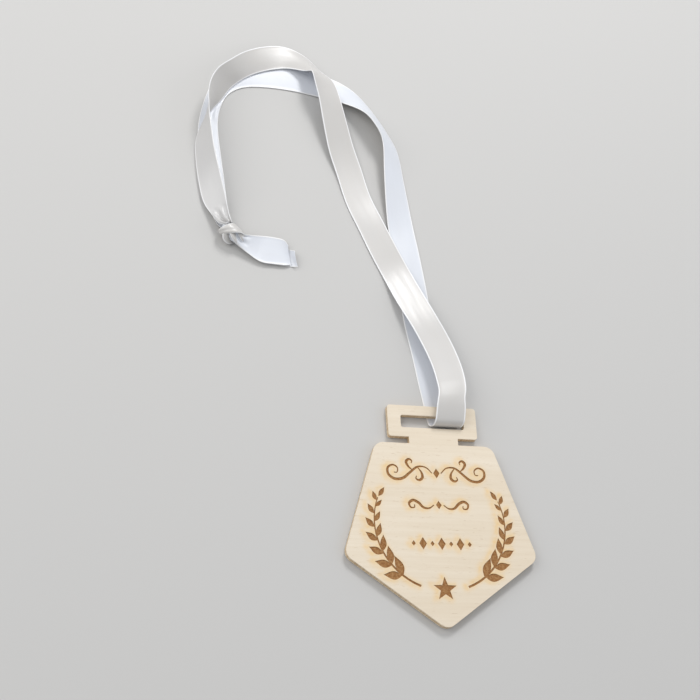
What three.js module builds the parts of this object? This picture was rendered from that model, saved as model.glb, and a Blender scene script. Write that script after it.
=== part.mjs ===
// A laser-cut plywood medal lying flat, with a long loop of satin ribbon through its bar.
// Millimetres, +Z up. The origin is on the table, under the middle of the wooden plate.
// The plate's pentagon points towards -Y and its bar towards +Y.

import * as THREE from "three";

// The plate, measured from the centre of its regular pentagon.
const PENTAGON_RADIUS = 50;
const PENTAGON_CORNER_RADIUS = 5.6;
const NECK_HALF_WIDTH = 12.4;
const BAR_HALF_WIDTH = 22.5;
const BAR_BOTTOM = 43.8;
const BAR_TOP = 60;
const BAR_CORNER_RADIUS = 1.5;
const SLOT_HALF_WIDTH = 16;
const SLOT_BOTTOM = 48.6;
const SLOT_TOP = 54.9;
const SLOT_CORNER_RADIUS = 1.1;
const ARC_SEGMENTS = 6;

// The plies, from the table up. The lowest ribbon strand passes under the bar.
const PLATE_LIFT = 0.5;
const VENEER_THICKNESS = 1;
const CORE_THICKNESS = 1;

// The ribbon.
const RIBBON_THICKNESS = 0.3;
const STEPS_PER_STATION = 2;
const RIBBON_SEGMENTS_ACROSS = 6;

// The knot: a barrel whose flat ends meet the ribbon and the tails.
const KNOT_CENTRE = [-96.6, 142.6, 4];
const KNOT_HEADING = -49;
const KNOT_LENGTH = 10.5;
const KNOT_END_RADIUS = 3.4;
const KNOT_MIDDLE_RADIUS = 5;
const KNOT_FLATTENING = 0.76;
const KNOT_SIDES = 14;

// Stations along the ribbon: its outer edge (x, y, z), then its inner edge (x, y, z).
// The lower strand, from the knot round the top of the loop and down to the bar.
const LOWER_STRAND = [
  [-103.5, 145.4, 1.88, -98.1, 149.9, 2.0],
  [-106.8, 154.4, 0.88, -98.2, 156.8, 1.0],
  [-110.0, 166.2, 0.38, -99.0, 167.5, 0.5],
  [-112.0, 178.8, 0.38, -100.2, 180.0, 0.38],
  [-112.8, 192.5, 0.38, -101.5, 192.5, 0.38],
  [-112.5, 205.0, 0.38, -102.4, 205.6, 0.38],
  [-109.4, 219.4, 0.38, -101.0, 215.6, 0.38],
  [-103.1, 234.4, 0.38, -96.6, 224.8, 0.38],
  [-92.7, 242.8, 0.9, -88.8, 229.9, 0.38],
  [-78.7, 246.0, 1.3, -78.4, 231.5, 0.38],
  [-62.2, 245.9, 1.4, -63.7, 231.3, 0.38],
  [-45.1, 242.9, 0.7, -49.7, 229.2, 0.7],
  [-29.5, 235.9, 0.38, -36.2, 225.1, 3.25],
  [-18.0, 221.8, 0.38, -25.8, 216.5, 9.5],
  [-12.0, 211.6, 0.38, -20.2, 207.5, 10.75],
  [-6.6, 200.0, 0.38, -17.0, 201.2, 8.75],
  [-4.5, 183.8, 0.38, -16.6, 185.2, 6.5],
  [-2.8, 170.0, 0.38, -16.1, 169.7, 4.0],
  [-1.0, 155.0, 0.38, -14.8, 152.6, 0.9],
  [1.5, 137.5, 0.38, -12.4, 135.0, 0.5],
  [3.8, 118.1, 0.25, -10.9, 114.1, 0.25],
  [5.2, 101.2, 0.25, -9.6, 99.1, 0.25],
  [7.2, 85.0, 0.25, -7.1, 84.0, 0.25],
  [9.5, 70.2, 0.21, -4.9, 69.0, 0.21],
  [11.6, 59.4, 0.21, -3.2, 58.4, 0.21],
  [12.8, 52.5, 0.21, -2.2, 52.0, 0.21],
];

// The turn up through the slot, round the bar's top strip: a half circle seen from the side.
const TURN_AXIS_Y = 48;
const TURN_RADIUS = 3.85;
const TURN_START_X = [13.4, -1.6];
const TURN_START_Z = 0.21;
const TURN_SHIFT_X = 2.3;
const TURN_STATIONS = 5;

// The upper strand, from the bar over the lower strand and back to the knot.
const UPPER_STRAND = [
  [15.8, 53.0, 9.4, 1.0, 52.8, 9.4],
  [15.8, 57.4, 9.6, 1.8, 56.8, 9.6],
  [16.8, 61.8, 9.3, 2.5, 60.6, 9.3],
  [17.0, 68.4, 8.6, 2.1, 65.9, 8.6],
  [15.5, 77.7, 7.6, 0.6, 74.5, 7.6],
  [11.7, 89.7, 6.5, -3.3, 86.2, 6.5],
  [5.7, 103.4, 5.5, -8.5, 98.2, 5.5],
  [0.3, 116.1, 3.6, -13.5, 109.3, 3.5],
  [-5.5, 130.6, 1.2, -18.6, 123.2, 0.9],
  [-11.9, 144.5, 1.2, -24.7, 136.8, 0.6],
  [-18.1, 158.8, 1.2, -30.8, 152.1, 0.5],
  [-23.2, 171.7, 0.5, -36.2, 165.2, 0.5],
  [-27.2, 187.6, 0.8, -40.8, 182.6, 1.2],
  [-31.0, 199.5, 2.0, -44.6, 194.6, 2.9],
  [-34.3, 212.1, 3.9, -47.8, 208.8, 6.3],
  [-37.8, 226.2, 5.6, -50.5, 222.5, 9.6],
  [-40.9, 237.6, 4.38, -52.8, 230.2, 11.88],
  [-46.5, 244.0, 2.0, -54.4, 236.4, 12.88],
  [-51.6, 250.0, 1.75, -55.4, 238.0, 10.62],
  [-56.5, 253.9, 2.0, -57.2, 240.7, 6.0],
  [-66.3, 257.2, 2.6, -64.4, 243.6, 2.6],
  [-76.8, 255.1, 3.9, -74.0, 241.8, 2.0],
  [-88.2, 249.0, 6.25, -83.2, 238.1, 1.75],
  [-97.1, 239.4, 11.25, -90.4, 233.1, 1.62],
  [-103.8, 232.5, 13.12, -95.8, 227.6, 1.5],
  [-108.0, 224.4, 14.12, -100.5, 220.0, 1.5],
  [-109.5, 216.4, 15.0, -104.2, 215.4, 1.5],
  [-109.5, 211.2, 15.0, -107.8, 210.0, 1.38],
  [-109.2, 204.5, 14.62, -111.6, 202.8, 1.25],
  [-108.1, 195.1, 13.75, -114.2, 192.9, 1.25],
  [-106.5, 184.4, 12.5, -114.1, 182.9, 1.25],
  [-103.5, 172.2, 10.25, -112.9, 170.6, 1.38],
  [-100.6, 161.4, 7.75, -110.5, 158.1, 1.75],
  [-99.0, 154.0, 6.0, -106.5, 150.8, 3.0],
  [-98.1, 149.9, 5.38, -103.5, 145.4, 4.12],
];

// The two free ends beyond the knot: upper edge, then lower edge.
const UPPER_TAIL = [
  [-90.1, 140.5, 4.5, -95.1, 135.8, 4.25],
  [-85.5, 141.0, 3.62, -88.8, 131.1, 2.75],
  [-80.0, 141.5, 2.88, -82.2, 127.4, 1.88],
  [-74.4, 141.2, 2.75, -75.2, 126.8, 1.62],
  [-70.2, 140.2, 2.75, -69.2, 126.8, 1.5],
  [-68.0, 138.4, 1.4, -66.8, 127.6, 1.0],
];
const LOWER_TAIL = [
  [-90.2, 140.2, 2.38, -94.8, 136.1, 2.25],
  [-85.5, 139.5, 0.88, -88.2, 132.0, 0.75],
  [-78.8, 139.8, 0.31, -81.0, 128.2, 0.31],
  [-71.2, 138.2, 0.31, -72.8, 127.4, 0.31],
  [-67.6, 136.4, 0.4, -66.2, 126.8, 0.35],
  [-65.0, 134.5, 3.0, -63.4, 126.4, 1.5],
];

// Adds an outline to a path. Each corner is x, y and the radius that rounds it.
function addOutline(path, corners) {
  corners.forEach(([x, y, radius], index) => {
    const corner = new THREE.Vector2(x, y);
    const before = corners[(index + corners.length - 1) % corners.length];
    const after = corners[(index + 1) % corners.length];
    const toBefore = new THREE.Vector2(before[0], before[1]).sub(corner).normalize();
    const toAfter = new THREE.Vector2(after[0], after[1]).sub(corner).normalize();
    if (radius === 0) {
      lineOrMove(path, corner, index);
      return;
    }
    const halfAngle = Math.acos(toBefore.dot(toAfter)) / 2;
    const toCentre = toBefore.clone().add(toAfter).normalize();
    const centre = corner.clone().addScaledVector(toCentre, radius / Math.sin(halfAngle));
    const tangentLength = radius / Math.tan(halfAngle);
    const start = corner.clone().addScaledVector(toBefore, tangentLength);
    const end = corner.clone().addScaledVector(toAfter, tangentLength);
    const clockwise = toBefore.cross(toAfter) > 0;
    const startAngle = Math.atan2(start.y - centre.y, start.x - centre.x);
    const endAngle = Math.atan2(end.y - centre.y, end.x - centre.x);
    lineOrMove(path, start, index);
    path.absarc(centre.x, centre.y, radius, startAngle, endAngle, clockwise);
  });
  path.closePath();
}

function lineOrMove(path, point, index) {
  if (index === 0) {
    path.moveTo(point.x, point.y);
  } else {
    path.lineTo(point.x, point.y);
  }
}

function rectangle(halfWidth, bottom, top, radius) {
  return [
    [-halfWidth, bottom, radius],
    [halfWidth, bottom, radius],
    [halfWidth, top, radius],
    [-halfWidth, top, radius],
  ];
}

// The plate's outline: a pentagon, point down, joined by a neck to the bar with its slot.
function plateShape() {
  const pentagon = [54, 126, 198, 270, 342].map((degrees) => {
    const angle = THREE.MathUtils.degToRad(degrees);
    return [PENTAGON_RADIUS * Math.cos(angle), PENTAGON_RADIUS * Math.sin(angle), PENTAGON_CORNER_RADIUS];
  });
  const shoulder = pentagon[0][1];
  const bar = rectangle(BAR_HALF_WIDTH, BAR_BOTTOM, BAR_TOP, BAR_CORNER_RADIUS);
  const outline = [
    ...pentagon.slice(1),
    pentagon[0],
    [NECK_HALF_WIDTH, shoulder, 0],
    [NECK_HALF_WIDTH, BAR_BOTTOM, 0],
    bar[1],
    bar[2],
    bar[3],
    bar[0],
    [-NECK_HALF_WIDTH, BAR_BOTTOM, 0],
    [-NECK_HALF_WIDTH, shoulder, 0],
  ];
  const shape = new THREE.Shape();
  addOutline(shape, outline);
  const slot = new THREE.Path();
  addOutline(slot, rectangle(SLOT_HALF_WIDTH, SLOT_BOTTOM, SLOT_TOP, SLOT_CORNER_RADIUS));
  shape.holes.push(slot);
  return shape;
}

// How far the pentagon's centre lies above the middle of the whole plate.
function plateOffset() {
  const halfCorner = THREE.MathUtils.degToRad(54);
  const rounding = PENTAGON_CORNER_RADIUS * (1 / Math.sin(halfCorner) - 1);
  return (PENTAGON_RADIUS - rounding - BAR_TOP) / 2;
}

function ply(name, bottom, thickness, colour) {
  const options = { depth: thickness, bevelEnabled: false, curveSegments: ARC_SEGMENTS };
  const geometry = new THREE.ExtrudeGeometry(plateShape(), options);
  const mesh = new THREE.Mesh(geometry, wood(colour));
  mesh.name = name;
  mesh.position.set(0, plateOffset(), bottom);
  return mesh;
}

function wood(colour) {
  return new THREE.MeshStandardMaterial({ color: colour, roughness: 0.62, metalness: 0 });
}

function satin() {
  return new THREE.MeshStandardMaterial({ color: 0xeeedf0, roughness: 0.32, metalness: 0 });
}

// The stations of the half circle that carries the ribbon up through the slot.
function turnStations() {
  const stations = [];
  for (let index = 0; index < TURN_STATIONS; index += 1) {
    const share = index / (TURN_STATIONS - 1);
    const angle = Math.PI * share;
    const y = TURN_AXIS_Y - TURN_RADIUS * Math.sin(angle);
    const z = TURN_START_Z + TURN_RADIUS * (1 - Math.cos(angle));
    const shift = TURN_SHIFT_X * share;
    stations.push([TURN_START_X[0] + shift, y, z, TURN_START_X[1] + shift, y, z]);
  }
  return stations;
}

// A flat band through its stations: a box whose length is bent onto the two edge curves.
function band(name, stations) {
  const first = new THREE.CatmullRomCurve3(stations.map((s) => new THREE.Vector3(s[0], s[1], s[2])));
  const second = new THREE.CatmullRomCurve3(stations.map((s) => new THREE.Vector3(s[3], s[4], s[5])));
  const steps = STEPS_PER_STATION * (stations.length - 1);
  const geometry = new THREE.BoxGeometry(1, 1, 1, RIBBON_SEGMENTS_ACROSS, 1, steps);
  const position = geometry.attributes.position;
  for (let index = 0; index < position.count; index += 1) {
    const along = Math.min(Math.max(position.getZ(index) + 0.5, 0), 1);
    const a = first.getPoint(along);
    const b = second.getPoint(along);
    const across = b.clone().sub(a).normalize();
    const tangent = first.getTangent(along).add(second.getTangent(along));
    const normal = tangent.cross(across).normalize();
    const point = a.lerp(b, position.getX(index) + 0.5);
    point.addScaledVector(normal, position.getY(index) * RIBBON_THICKNESS);
    position.setXYZ(index, point.x, point.y, point.z);
  }
  geometry.computeVertexNormals();
  const mesh = new THREE.Mesh(geometry, satin());
  mesh.name = name;
  return mesh;
}

function knot() {
  const half = KNOT_LENGTH / 2;
  const profile = [
    new THREE.Vector2(0, -half),
    new THREE.Vector2(KNOT_END_RADIUS, -half),
    new THREE.Vector2(KNOT_MIDDLE_RADIUS, -half / 3),
    new THREE.Vector2(KNOT_MIDDLE_RADIUS, half / 3),
    new THREE.Vector2(KNOT_END_RADIUS, half),
    new THREE.Vector2(0, half),
  ];
  const geometry = new THREE.LatheGeometry(profile, KNOT_SIDES);
  geometry.rotateZ(-Math.PI / 2);
  geometry.scale(1, 1, KNOT_FLATTENING);
  const mesh = new THREE.Mesh(geometry, satin());
  mesh.name = "knot";
  mesh.position.set(...KNOT_CENTRE);
  mesh.rotation.z = THREE.MathUtils.degToRad(KNOT_HEADING);
  return mesh;
}

const medal = new THREE.Group();
medal.add(ply("back_veneer", PLATE_LIFT, VENEER_THICKNESS, 0xe8d8bc));
medal.add(ply("core_ply", PLATE_LIFT + VENEER_THICKNESS, CORE_THICKNESS, 0xd9c19a));
medal.add(ply("front_veneer", PLATE_LIFT + VENEER_THICKNESS + CORE_THICKNESS, VENEER_THICKNESS, 0xeadcc4));

const ribbonLoop = new THREE.Group();
ribbonLoop.add(band("ribbon", [...LOWER_STRAND, ...turnStations(), ...UPPER_STRAND]));
ribbonLoop.add(knot());
ribbonLoop.add(band("upper_tail", UPPER_TAIL));
ribbonLoop.add(band("lower_tail", LOWER_TAIL));

const part = new THREE.Group();
part.add(medal, ribbonLoop);

export default part;
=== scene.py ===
"""A laser-engraved plywood medal on a knotted loop of white satin ribbon, lying on a pale table.

Metres, +Z up. The origin is on the table, under the middle of the wooden plate.
"""

import math

import bpy
from mathutils import Matrix, Quaternion, Vector, noise
from mathutils.geometry import delaunay_2d_cdt
from mathutils.kdtree import KDTree
import numpy as np


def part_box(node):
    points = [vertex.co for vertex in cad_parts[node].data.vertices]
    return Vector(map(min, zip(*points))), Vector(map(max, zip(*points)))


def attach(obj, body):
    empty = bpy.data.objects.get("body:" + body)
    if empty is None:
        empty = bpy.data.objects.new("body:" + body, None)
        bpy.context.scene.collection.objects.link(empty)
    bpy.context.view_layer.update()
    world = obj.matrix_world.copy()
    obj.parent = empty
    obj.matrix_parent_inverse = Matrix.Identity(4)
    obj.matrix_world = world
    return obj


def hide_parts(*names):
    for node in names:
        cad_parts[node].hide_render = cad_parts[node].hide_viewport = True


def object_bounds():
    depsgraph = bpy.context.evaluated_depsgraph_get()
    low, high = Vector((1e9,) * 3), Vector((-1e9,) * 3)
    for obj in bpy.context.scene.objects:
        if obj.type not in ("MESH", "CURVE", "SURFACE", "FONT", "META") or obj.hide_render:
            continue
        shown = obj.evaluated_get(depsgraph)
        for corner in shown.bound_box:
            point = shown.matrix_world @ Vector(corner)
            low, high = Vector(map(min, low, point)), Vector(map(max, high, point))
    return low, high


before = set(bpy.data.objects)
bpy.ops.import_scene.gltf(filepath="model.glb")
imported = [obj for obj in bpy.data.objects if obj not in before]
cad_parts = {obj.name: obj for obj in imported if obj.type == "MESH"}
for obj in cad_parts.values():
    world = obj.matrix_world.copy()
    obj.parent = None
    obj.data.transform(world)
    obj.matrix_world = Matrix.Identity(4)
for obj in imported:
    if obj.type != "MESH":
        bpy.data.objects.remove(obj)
cad_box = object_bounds()


def add_object(name, data):
    """A new object in the scene, made of this data."""
    new = bpy.data.objects.new(name, data)
    bpy.context.scene.collection.objects.link(new)
    return new


def aim(watcher, way, roll=0.0):
    """Turns a camera or a light to look this way, and then about its line of sight."""
    watcher.rotation_mode = "QUATERNION"
    watcher.rotation_quaternion = way.to_track_quat("-Z", "Y") @ Quaternion((0, 0, 1), roll)


# -------- camera

CAMERA_PLACE = Vector((-0.22589, -0.21303, 0.63638))
CAMERA_TARGET = Vector((-0.03843, 0.08351, 0))
CAMERA_ROLL = math.radians(32.63)
CAMERA_LENS = 76.27


def add_camera():
    """The scene's camera, tilted to one side."""
    data = bpy.data.cameras.new("camera")
    data.lens = CAMERA_LENS
    camera = add_object("camera", data)
    camera.location = CAMERA_PLACE
    aim(camera, CAMERA_TARGET - CAMERA_PLACE, CAMERA_ROLL)
    bpy.context.scene.camera = camera


# -------- ribbon route
# Stations along the ribbon: its outer edge (x, y, z), then its inner edge (x, y, z), in metres.
# The lower strand goes from the knot round the top of the loop and down to the bar.

LOWER_STRAND = [
    (-0.1035, 0.1454, 0.00188, -0.0981, 0.1499, 0.0020),
    (-0.1068, 0.1544, 0.00088, -0.0982, 0.1568, 0.0010),
    (-0.1100, 0.1662, 0.00038, -0.0990, 0.1675, 0.0005),
    (-0.1120, 0.1788, 0.00038, -0.1002, 0.1800, 0.00038),
    (-0.1128, 0.1925, 0.00038, -0.1015, 0.1925, 0.00038),
    (-0.1125, 0.2050, 0.00038, -0.1024, 0.2056, 0.00038),
    (-0.1094, 0.2194, 0.00038, -0.1010, 0.2156, 0.00038),
    (-0.1031, 0.2344, 0.00038, -0.0966, 0.2248, 0.00038),
    (-0.0927, 0.2428, 0.0009, -0.0888, 0.2299, 0.00038),
    (-0.0787, 0.2460, 0.0013, -0.0784, 0.2315, 0.00038),
    (-0.0622, 0.2459, 0.0014, -0.0637, 0.2313, 0.00038),
    (-0.0451, 0.2429, 0.0007, -0.0497, 0.2292, 0.0007),
    (-0.0295, 0.2359, 0.00038, -0.0362, 0.2251, 0.00325),
    (-0.0180, 0.2218, 0.00038, -0.0258, 0.2165, 0.0095),
    (-0.0120, 0.2116, 0.00038, -0.0202, 0.2075, 0.01075),
    (-0.0066, 0.2000, 0.00038, -0.0170, 0.2012, 0.00875),
    (-0.0045, 0.1838, 0.00038, -0.0166, 0.1852, 0.0065),
    (-0.0028, 0.1700, 0.00038, -0.0161, 0.1697, 0.0040),
    (-0.0010, 0.1550, 0.00038, -0.0148, 0.1526, 0.0009),
    (0.0015, 0.1375, 0.00038, -0.0124, 0.1350, 0.0005),
    (0.0038, 0.1181, 0.00025, -0.0109, 0.1141, 0.00025),
    (0.0052, 0.1012, 0.00025, -0.0096, 0.0991, 0.00025),
    (0.0072, 0.0850, 0.00025, -0.0071, 0.0840, 0.00025),
    (0.0095, 0.0702, 0.00021, -0.0049, 0.0690, 0.00021),
    (0.0116, 0.0594, 0.00021, -0.0032, 0.0584, 0.00021),
    (0.0128, 0.0525, 0.00021, -0.0022, 0.0520, 0.00021),
]

# The turn up through the slot, round the bar's top strip: a half circle seen from the side.
TURN_AXIS_Y = 0.0480
TURN_RADIUS = 0.00385
TURN_START_X = (0.0134, -0.0016)
TURN_START_Z = 0.00021
TURN_SHIFT_X = 0.0023
TURN_STATIONS = 7

# The upper strand goes from the bar over the lower strand and back to the knot.
UPPER_STRAND = [
    (0.0158, 0.0530, 0.0094, 0.0010, 0.0528, 0.0094),
    (0.0158, 0.0574, 0.0096, 0.0018, 0.0568, 0.0096),
    (0.0168, 0.0618, 0.0093, 0.0025, 0.0606, 0.0093),
    (0.0170, 0.0684, 0.0086, 0.0021, 0.0659, 0.0086),
    (0.0155, 0.0777, 0.0076, 0.0006, 0.0745, 0.0076),
    (0.0117, 0.0897, 0.0065, -0.0033, 0.0862, 0.0065),
    (0.0057, 0.1034, 0.0055, -0.0085, 0.0982, 0.0055),
    (0.0003, 0.1161, 0.0036, -0.0135, 0.1093, 0.0035),
    (-0.0055, 0.1306, 0.0012, -0.0186, 0.1232, 0.0009),
    (-0.0119, 0.1445, 0.0012, -0.0247, 0.1368, 0.0006),
    (-0.0181, 0.1588, 0.0012, -0.0308, 0.1521, 0.0005),
    (-0.0232, 0.1717, 0.0005, -0.0362, 0.1652, 0.0005),
    (-0.0272, 0.1876, 0.0008, -0.0408, 0.1826, 0.0012),
    (-0.0310, 0.1995, 0.0020, -0.0446, 0.1946, 0.0029),
    (-0.0343, 0.2121, 0.0039, -0.0478, 0.2088, 0.0063),
    (-0.0378, 0.2262, 0.0056, -0.0505, 0.2225, 0.0096),
    (-0.0409, 0.2376, 0.00438, -0.0528, 0.2302, 0.01188),
    (-0.0465, 0.2440, 0.0020, -0.0544, 0.2364, 0.01288),
    (-0.0516, 0.2500, 0.00175, -0.0554, 0.2380, 0.01062),
    (-0.0565, 0.2539, 0.0020, -0.0572, 0.2407, 0.0060),
    (-0.0663, 0.2572, 0.0026, -0.0644, 0.2436, 0.0026),
    (-0.0768, 0.2551, 0.0039, -0.0740, 0.2418, 0.0020),
    (-0.0882, 0.2490, 0.00625, -0.0832, 0.2381, 0.00175),
    (-0.0971, 0.2394, 0.01125, -0.0904, 0.2331, 0.00162),
    (-0.1038, 0.2325, 0.01312, -0.0958, 0.2276, 0.0015),
    (-0.1080, 0.2244, 0.01412, -0.1005, 0.2200, 0.0015),
    (-0.1095, 0.2164, 0.0150, -0.1042, 0.2154, 0.0015),
    (-0.1095, 0.2112, 0.0150, -0.1078, 0.2100, 0.00138),
    (-0.1092, 0.2045, 0.01462, -0.1116, 0.2028, 0.00125),
    (-0.1081, 0.1951, 0.01375, -0.1142, 0.1929, 0.00125),
    (-0.1065, 0.1844, 0.0125, -0.1141, 0.1829, 0.00125),
    (-0.1035, 0.1722, 0.01025, -0.1129, 0.1706, 0.00138),
    (-0.1006, 0.1614, 0.00775, -0.1105, 0.1581, 0.00175),
    (-0.0990, 0.1540, 0.0060, -0.1065, 0.1508, 0.0030),
    (-0.0981, 0.1499, 0.00538, -0.1035, 0.1454, 0.00412),
]

# The two free ends beyond the knot: upper edge, then lower edge.
UPPER_TAIL = [
    (-0.0901, 0.1405, 0.0045, -0.0951, 0.1358, 0.00425),
    (-0.0855, 0.1410, 0.00362, -0.0888, 0.1311, 0.00275),
    (-0.0800, 0.1415, 0.00288, -0.0822, 0.1274, 0.00188),
    (-0.0744, 0.1412, 0.00275, -0.0752, 0.1268, 0.00162),
    (-0.0702, 0.1402, 0.00275, -0.0692, 0.1268, 0.0015),
    (-0.0680, 0.1384, 0.0014, -0.0668, 0.1276, 0.0010),
]
LOWER_TAIL = [
    (-0.0902, 0.1402, 0.00238, -0.0948, 0.1361, 0.00225),
    (-0.0855, 0.1395, 0.00088, -0.0882, 0.1320, 0.00075),
    (-0.0788, 0.1398, 0.00031, -0.0810, 0.1282, 0.00031),
    (-0.0712, 0.1382, 0.00031, -0.0728, 0.1274, 0.00031),
    (-0.0676, 0.1364, 0.0004, -0.0662, 0.1268, 0.00035),
    (-0.0650, 0.1345, 0.0030, -0.0634, 0.1264, 0.0015),
]


def turn_stations():
    """The half circle that carries the ribbon up through the slot, without its last station."""
    stations = []
    for index in range(TURN_STATIONS):
        share = index / TURN_STATIONS
        angle = math.pi * share
        y = TURN_AXIS_Y - TURN_RADIUS * math.sin(angle)
        z = TURN_START_Z + TURN_RADIUS * (1 - math.cos(angle))
        shift = TURN_SHIFT_X * share
        stations.append((TURN_START_X[0] + shift, y, z, TURN_START_X[1] + shift, y, z))
    return stations


# -------- strips of ribbon

RIBBON_WIDTH = 0.015
STEPS_PER_STATION = 14
SMOOTHING_PASSES = 18
# Across the ribbon, in from one selvedge: how far in, and half the thickness there.
SELVEDGE_PROFILE = [
    (0.00000, 0.00003),
    (0.00008, 0.00012),
    (0.00025, 0.00017),
    (0.00048, 0.00017),
    (0.00070, 0.00013),
    (0.00090, 0.00010),
]
PLAIN_STEPS = 12
PLAIN_HALF_THICKNESS = 0.0001
PLEAT_COUNT = 2
# The lowest place for the middle of the ribbon's thickness.
TABLE_CLEARANCE = 0.00018
SHORTEST_GAP = 1e-7
SHORTEST_VECTOR = 1e-12


def ribbon_profile():
    """Half the ribbon's thickness at places across it, and those places, 0 to 1."""
    edge_places = [inset / RIBBON_WIDTH for inset, _ in SELVEDGE_PROFILE]
    edge_halves = [half for _, half in SELVEDGE_PROFILE]
    inner = np.linspace(edge_places[-1], 1 - edge_places[-1], PLAIN_STEPS + 1)[1:-1]
    places = edge_places + list(inner) + [1 - place for place in reversed(edge_places)]
    halves = edge_halves + [PLAIN_HALF_THICKNESS] * len(inner) + edge_halves[::-1]
    return np.array(halves), np.array(places)


def spline(points, steps):
    """Points on a centripetal Catmull-Rom curve through the given points."""
    p = np.array(points, float)
    p = np.vstack([2 * p[0] - p[1], p, 2 * p[-1] - p[-2]])
    gaps = np.sqrt(np.maximum(np.linalg.norm(np.diff(p, axis=0), axis=1), SHORTEST_GAP))
    t = np.linspace(0, 1, steps, endpoint=False)[:, None]
    weights = 2 * t**3 - 3 * t**2 + 1, t**3 - 2 * t**2 + t, 3 * t**2 - 2 * t**3, t**3 - t**2
    result = []
    for i in range(1, len(p) - 2):
        steps_to = np.diff(p[i - 1 : i + 3], axis=0)
        before, here, after = gaps[i - 1 : i + 2]
        leave = steps_to[0] / before - (p[i + 1] - p[i - 1]) / (before + here) + steps_to[1] / here
        arrive = steps_to[1] / here - (p[i + 2] - p[i]) / (here + after) + steps_to[2] / after
        start = weights[0] * p[i] + weights[1] * leave * here
        result.append(start + weights[2] * p[i + 1] + weights[3] * arrive * here)
    return np.vstack(result + [p[-2:-1]])


def smoothed(points, passes):
    """Evens out a dense line of points, and keeps its two ends."""
    for _ in range(passes):
        points[1:-1] = (points[:-2] + 2 * points[1:-1] + points[2:]) / 4
    return points


def edge_lines(stations):
    """The two edges of a strip as dense lines of points."""
    table = np.array(stations)
    return [spline(edge, STEPS_PER_STATION) for edge in (table[:, :3], table[:, 3:])]


def unit(vectors):
    """The same directions, each one long."""
    return vectors / np.maximum(np.linalg.norm(vectors, axis=-1, keepdims=True), SHORTEST_VECTOR)


def strip_rows(first, second, cup, pleat):
    """The points of a strip, row by row, between its two edge lines.

    cup is how far its middle stands up, and pleat how deep its lengthwise folds are, at each row.
    """
    middle = (first + second) / 2
    along = unit(np.gradient(middle, axis=0))
    across = unit(second - first)
    up = unit(np.cross(along, across))
    u = ribbon_profile()[1][None, :]
    rows = first[:, None, :] * (1 - u[..., None]) + second[:, None, :] * u[..., None]
    bulge = cup[:, None] * (1 - (2 * u - 1) ** 2)
    fold = pleat[:, None] * np.sin(2 * math.pi * PLEAT_COUNT * u)
    rows = rows + (bulge + fold)[:, :, None] * up[:, None, :]
    rows[..., 2] = np.maximum(rows[..., 2], TABLE_CLEARANCE)
    return rows


def sheet_parts(rows, halves, places):
    """Points, faces and weave coordinates of a thin closed sheet round the rows of points."""
    normals = unit(np.cross(np.gradient(rows, axis=0), np.gradient(rows, axis=1)))
    top = rows + normals * halves[None, :, None]
    bottom = rows - normals * halves[None, :, None]
    count, width = rows.shape[:2]
    grid = np.arange(count * width).reshape(count, width)
    low = grid + count * width
    faces = quads(grid) + quads(low[:, ::-1])
    faces += wall(grid[:, 0], low[:, 0], True) + wall(grid[:, -1], low[:, -1], False)
    faces += wall(grid[0], low[0], False) + wall(grid[-1], low[-1], True)
    points = np.vstack([top.reshape(-1, 3), bottom.reshape(-1, 3)])
    return points, faces, weave_of(rows, places)


def quads(grid):
    """The faces between a grid's points."""
    corners = np.stack([grid[:-1, :-1], grid[1:, :-1], grid[1:, 1:], grid[:-1, 1:]], axis=-1)
    return corners.reshape(-1, 4).tolist()


def wall(high, low, outward):
    """Quads that join two lines of points."""
    corners = np.stack([high[:-1], low[:-1], low[1:], high[1:]], axis=-1)
    if not outward:
        corners = corners[:, ::-1]
    return corners.tolist()


def weave_of(rows, places):
    """How far across and along the ribbon each point lies, and on which face, +1 or -1."""
    count, width = rows.shape[:2]
    steps = np.linalg.norm(np.diff(rows[:, width // 2], axis=0), axis=1)
    weave = np.zeros((2, count, width, 3), np.float32)
    weave[..., 0] = (places - 0.5) * RIBBON_WIDTH
    weave[..., 1] = np.concatenate([[0], np.cumsum(steps)])[None, :, None]
    weave[0, ..., 2] = 1
    weave[1, ..., 2] = -1
    return weave.reshape(-1, 3)


def satin_piece(name, node, sheets, material):
    """A piece of the ribbon made of these sheets, in the place of this node."""
    points, faces, weaves = [], [], []
    for sheet_points, sheet_faces, weave in sheets:
        offset = sum(len(group) for group in points)
        points.append(sheet_points)
        faces += [[corner + offset for corner in face] for face in sheet_faces]
        weaves.append(weave)
    mesh = bpy.data.meshes.new(name)
    mesh.from_pydata(np.vstack(points).tolist(), [], faces)
    mesh.shade_smooth()
    layer = mesh.attributes.new("weave", "FLOAT_VECTOR", "POINT")
    layer.data.foreach_set("vector", np.vstack(weaves).ravel())
    mesh.materials.append(material)
    piece = add_object(name, mesh)
    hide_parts(node)
    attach(piece, "ribbon_loop")
    return piece


# -------- materials


def new_material(name, sockets):
    """A Principled material with these values on its sockets, its node tree and its shader."""
    material = bpy.data.materials.new(name)
    material.use_nodes = True
    tree = material.node_tree
    shader = tree.nodes["Principled BSDF"]
    for socket, value in sockets.items():
        shader.inputs[socket].default_value = value
    return material, tree, shader


def add_node(tree, kind, inputs=None, **settings):
    """A new node with these settings. An input is a value, or another node's output socket."""
    node = tree.nodes.new(kind)
    for setting, value in settings.items():
        setattr(node, setting, value)
    for socket, value in (inputs or {}).items():
        if isinstance(value, bpy.types.NodeSocket):
            tree.links.new(value, node.inputs[socket])
        else:
            node.inputs[socket].default_value = value
    return node


# A colour mix node's sockets by number, because several share a name.
MIX_SHARE = 0
MIX_FIRST = 6
MIX_SECOND = 7
MIX_RESULT = 2


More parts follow.
